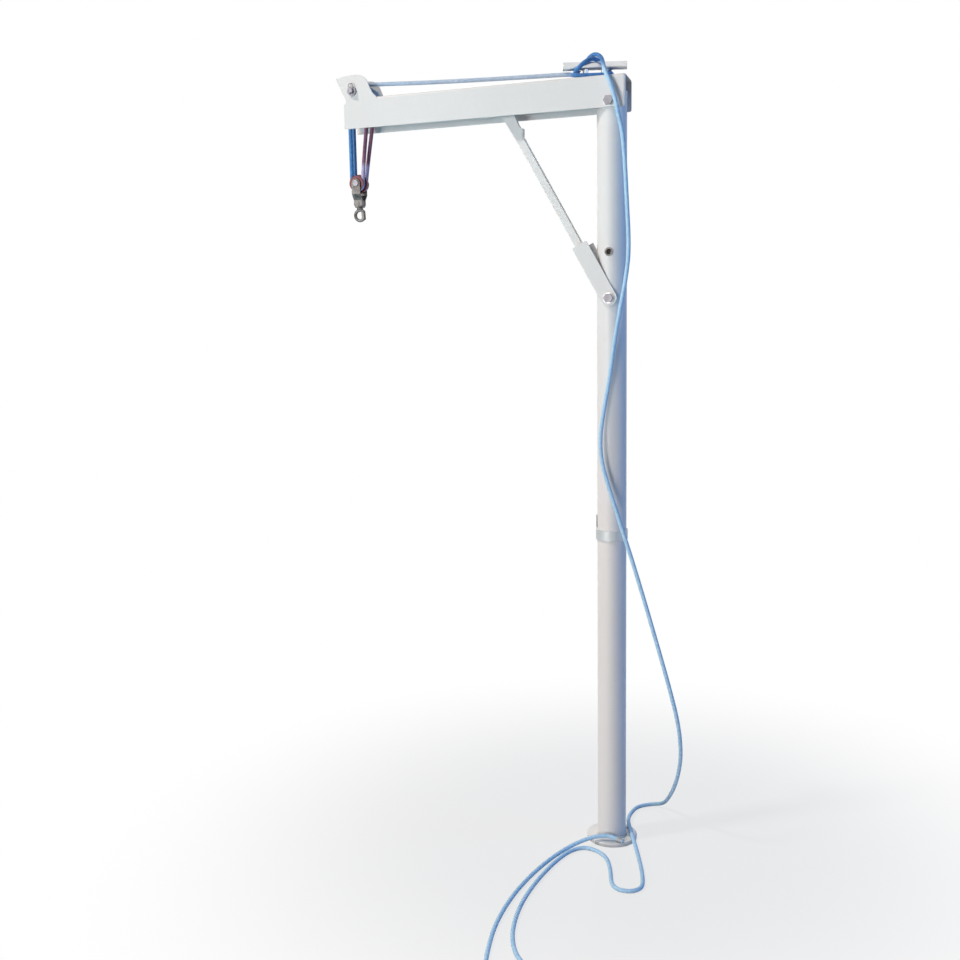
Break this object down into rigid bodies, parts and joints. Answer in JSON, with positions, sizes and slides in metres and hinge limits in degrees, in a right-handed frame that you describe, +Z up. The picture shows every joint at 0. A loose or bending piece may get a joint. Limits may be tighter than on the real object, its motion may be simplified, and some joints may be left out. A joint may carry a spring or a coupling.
{
  "type": "outboard motor lifting davit",
  "caption": "Mast-mounted lifting davit with a folding brace, a hinged boom with a sheave horn, a rope tackle with a hook block, and a cleat for the rope's tail.",
  "frame": {"origin": "on the mast's axis at the underside of the deck plate", "axes": "+Z up along the mast; at rest the boom points along -X; +Y is the side away from the viewer of the tackle's near strands"},
  "size_m": [0.7022, 0.8384, 1.5542],
  "materials": {
    "paint": "satin powder coat",
    "steel": "satin",
    "black_plastic": "matt",
    "nylon": "matt",
    "sheave": "satin",
    "rope_blue": "braided"
  },
  "bodies": {
    "base": {"deck_plate": "paint", "deck_spigot": "steel", "spigot_bush": "nylon", "thrust_washer": "nylon", "clamp_liner": "nylon", "clamp_strap": "steel", "clamp_block": "black_plastic", "rail_cap": "black_plastic", "clamp_side_screws": "steel", "rail_cap_screws": "steel", "rope_tail_lower": "rope_blue", "rope_end": "rope_blue", "rope_coil": "rope_blue"},
    "mast": {"mast_tube": "paint", "mast_cap": "black_plastic", "pivot_sleeve": "steel", "brace_sleeves": "steel", "rope_tail_upper": "rope_blue"},
    "boom": {"boom_channel": "paint", "pivot_bolt": "steel", "pivot_nut": "steel", "pivot_washers": "steel", "rest_pin": "steel", "cleat_tube": "steel", "cleat_plugs": "steel", "cleat_posts": "steel", "sheave_axle": "steel", "axle_washer": "steel", "axle_clip": "steel", "axle_spacers": "steel", "rope_lead": "rope_blue", "rope_cleat_turns": "rope_blue", "dead_end_knot": "rope_blue"},
    "brace": {"brace_clevis": "paint", "brace_bar": "paint", "brace_hook": "paint", "brace_bolt": "steel", "brace_nut": "steel", "brace_washers": "steel"},
    "tackle": {"rope_falls": "rope_blue"},
    "block": {"block_straps": "steel", "block_divider": "sheave", "block_axle": "steel", "block_axle_ring": "steel", "crosshead": "steel"},
    "hook": {"swivel_hook": "steel", "swivel_nut": "steel", "gate_pin": "steel"},
    "gate": {"hook_gate": "steel"},
    "sheave_a": {"upper_sheave_near": "sheave"},
    "sheave_b": {"upper_sheave_far": "sheave"},
    "sheave_c": {"lower_sheave_near": "sheave"},
    "sheave_d": {"lower_sheave_far": "sheave"}
  },
  "joints": [
    {"name": "mast_slew", "type": "hinge", "parent": "base", "child": "mast", "pos_m": [0, 0, 0], "axis": [0, 0, 1], "continuous": true, "deforming": ["rope_tail_lower"]},
    {"name": "boom_raise", "type": "hinge", "parent": "mast", "child": "boom", "pos_m": [0, 0, 1.458], "axis": [0, 1, 0], "range_deg": [0, 33], "deforming": ["rope_tail_upper"]},
    {"name": "brace_swing", "type": "hinge", "parent": "mast", "child": "brace", "pos_m": [0, 0, 1.096], "axis": [0, -1, 0], "range_deg": [0, 70]},
    {"name": "tackle_swing", "type": "hinge", "parent": "boom", "child": "tackle", "pos_m": [-0.5215, 0, 1.5186], "axis": [0, 1, 0], "range_deg": [-35, 15]},
    {"name": "hoist", "type": "slide", "parent": "tackle", "child": "block", "axis": [0, 0, 1], "range_m": [-1.18, 0.02], "deforming": ["rope_falls"]},
    {"name": "hook_swivel", "type": "hinge", "parent": "block", "child": "hook", "pos_m": [-0.526, 0, 1.302], "axis": [0, 0, 1], "continuous": true},
    {"name": "gate_open", "type": "hinge", "parent": "hook", "child": "gate", "pos_m": [-0.51897, 0, 1.2872], "axis": [0, 1, 0], "range_deg": [0, 40], "stiffness_Nm_per_rad": 0.02, "springref_deg": -17.19},
    {"name": "upper_near_spin", "type": "hinge", "parent": "boom", "child": "sheave_a", "pos_m": [-0.5215, -0.0085, 1.5186], "axis": [0, 1, 0], "range_deg": [-15914, 275]},
    {"name": "upper_far_spin", "type": "hinge", "parent": "boom", "child": "sheave_b", "pos_m": [-0.5215, 0.0085, 1.5186], "axis": [0, 1, 0], "range_deg": [-7960, 140]},
    {"name": "lower_near_spin", "type": "hinge", "parent": "block", "child": "sheave_c", "pos_m": [-0.526, -0.0085, 1.342], "axis": [0, 1, 0], "range_deg": [-16908, 292]},
    {"name": "lower_far_spin", "type": "hinge", "parent": "block", "child": "sheave_d", "pos_m": [-0.526, 0.0085, 1.342], "axis": [0, 1, 0], "range_deg": [-5640, 101]}
  ],
  "couplings": [
    {"joint": "upper_near_spin", "follows": "hoist", "rad_per_m": 235.29},
    {"joint": "upper_far_spin", "follows": "hoist", "rad_per_m": 117.65},
    {"joint": "lower_near_spin", "follows": "hoist", "rad_per_m": 250},
    {"joint": "lower_far_spin", "follows": "hoist", "rad_per_m": 83.333}
  ]
}
